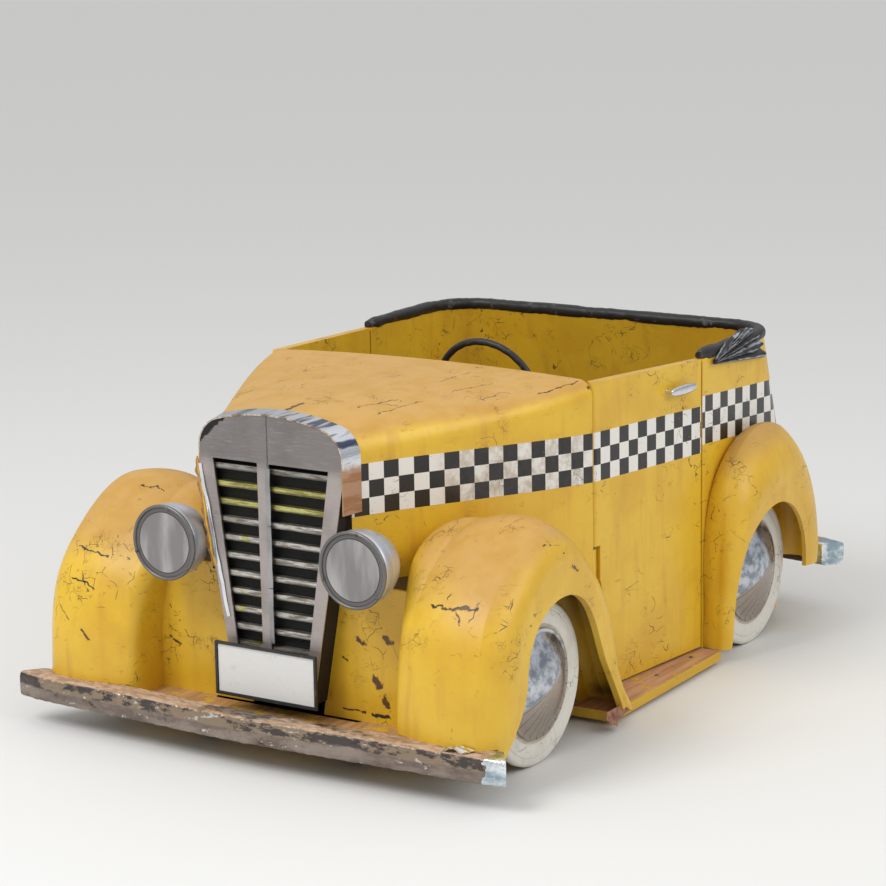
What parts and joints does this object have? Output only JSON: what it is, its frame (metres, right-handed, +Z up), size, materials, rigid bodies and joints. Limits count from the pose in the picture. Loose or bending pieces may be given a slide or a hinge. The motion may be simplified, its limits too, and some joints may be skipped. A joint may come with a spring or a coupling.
{
  "type": "fairground roundabout taxi car",
  "caption": "Open wooden toy taxi car from a children's roundabout, with turning wheels, opening doors and a steering wheel.",
  "frame": {"origin": "on the ground, under the middle of the car's length and width", "axes": "+Z up, the front faces -Y, the car's left side is +X"},
  "size_m": [1.146, 1.63, 0.7264],
  "materials": {
    "yellow_paint": "cracked yellow gloss paint on plywood and canvas",
    "tan_wood": "worn paint over bare plywood",
    "dark_wood": "dark stained timber",
    "white_wood": "white gloss paint on plywood",
    "tyre_rubber": "white sidewall, black tread",
    "chrome_trim": "polished",
    "axle_steel": "plain",
    "grille_metal": "dull brushed",
    "lamp_shell": "spun, satin",
    "lamp_paint": "grey paint",
    "plate_white": "white enamel, dark rim",
    "bumper_foil": "timber wrapped in peeling silver foil",
    "black_vinyl": "coated cloth",
    "seat_vinyl": "coated cloth",
    "black_plastic": "worn gloss"
  },
  "bodies": {
    "car_body": {"axle_front": "axle_steel", "axle_rear": "axle_steel", "axle_supports_front": "dark_wood", "axle_supports_rear": "dark_wood", "back_panel": "yellow_paint", "bonnet": "yellow_paint", "chassis_frame": "dark_wood", "dash_board": "tan_wood", "floor_board": "tan_wood", "folded_top": "black_vinyl", "front_apron": "yellow_paint", "front_bumper": "bumper_foil", "front_fender_left": "yellow_paint", "front_fender_right": "yellow_paint", "front_shelf": "tan_wood", "grille_band": "chrome_trim", "grille_frame": "grille_metal", "grille_slats": "grille_metal", "hinge_rod_left": "axle_steel", "hinge_rod_right": "axle_steel", "lamp_bucket_left": "lamp_shell", "lamp_bucket_right": "lamp_shell", "lamp_lens_left": "lamp_paint", "lamp_lens_right": "lamp_paint", "number_plate": "plate_white", "rear_bumper": "bumper_foil", "rear_bumper_irons": "axle_steel", "rear_fender_left": "yellow_paint", "rear_fender_right": "yellow_paint", "rear_quarter_left": "yellow_paint", "rear_quarter_right": "yellow_paint", "running_board_left": "tan_wood", "running_board_right": "tan_wood", "seat_base": "tan_wood", "seat_cushion": "seat_vinyl", "steering_column": "axle_steel", "toe_board": "tan_wood", "top_fan_left": "black_vinyl", "top_fan_right": "black_vinyl"},
    "wheel_front_left": {"tyre_front_left": "tyre_rubber", "wheel_disc_front_left": "white_wood", "hubcap_front_left": "chrome_trim"},
    "wheel_front_right": {"tyre_front_right": "tyre_rubber", "wheel_disc_front_right": "white_wood", "hubcap_front_right": "chrome_trim"},
    "wheel_rear_left": {"tyre_rear_left": "tyre_rubber", "wheel_disc_rear_left": "white_wood", "hubcap_rear_left": "chrome_trim"},
    "wheel_rear_right": {"tyre_rear_right": "tyre_rubber", "wheel_disc_rear_right": "white_wood", "hubcap_rear_right": "chrome_trim"},
    "swing_door_left": {"door_left": "yellow_paint", "door_handle_left": "chrome_trim"},
    "swing_door_right": {"door_right": "yellow_paint", "door_handle_right": "chrome_trim"},
    "helm": {"steering_wheel": "black_plastic"}
  },
  "joints": [
    {"name": "front_left_wheel_spin", "type": "hinge", "parent": "car_body", "child": "wheel_front_left", "pos_m": [0.465, -0.506, 0.16], "axis": [1, 0, 0], "continuous": true},
    {"name": "front_right_wheel_spin", "type": "hinge", "parent": "car_body", "child": "wheel_front_right", "pos_m": [-0.465, -0.506, 0.16], "axis": [1, 0, 0], "continuous": true},
    {"name": "rear_left_wheel_spin", "type": "hinge", "parent": "car_body", "child": "wheel_rear_left", "pos_m": [0.442, 0.437, 0.16], "axis": [1, 0, 0], "continuous": true},
    {"name": "rear_right_wheel_spin", "type": "hinge", "parent": "car_body", "child": "wheel_rear_right", "pos_m": [-0.442, 0.437, 0.16], "axis": [1, 0, 0], "continuous": true},
    {"name": "left_door_swing", "type": "hinge", "parent": "car_body", "child": "swing_door_left", "pos_m": [0.3839, -0.13217, 0.4], "axis": [0, 0, -1], "range_deg": [0, 70]},
    {"name": "right_door_swing", "type": "hinge", "parent": "car_body", "child": "swing_door_right", "pos_m": [-0.3839, -0.13217, 0.4], "axis": [0, 0, 1], "range_deg": [0, 70]},
    {"name": "steering_wheel_turn", "type": "hinge", "parent": "car_body", "child": "helm", "pos_m": [0.097, -0.06, 0.604], "axis": [0, 0.9781, 0.2079], "continuous": true}
  ]
}
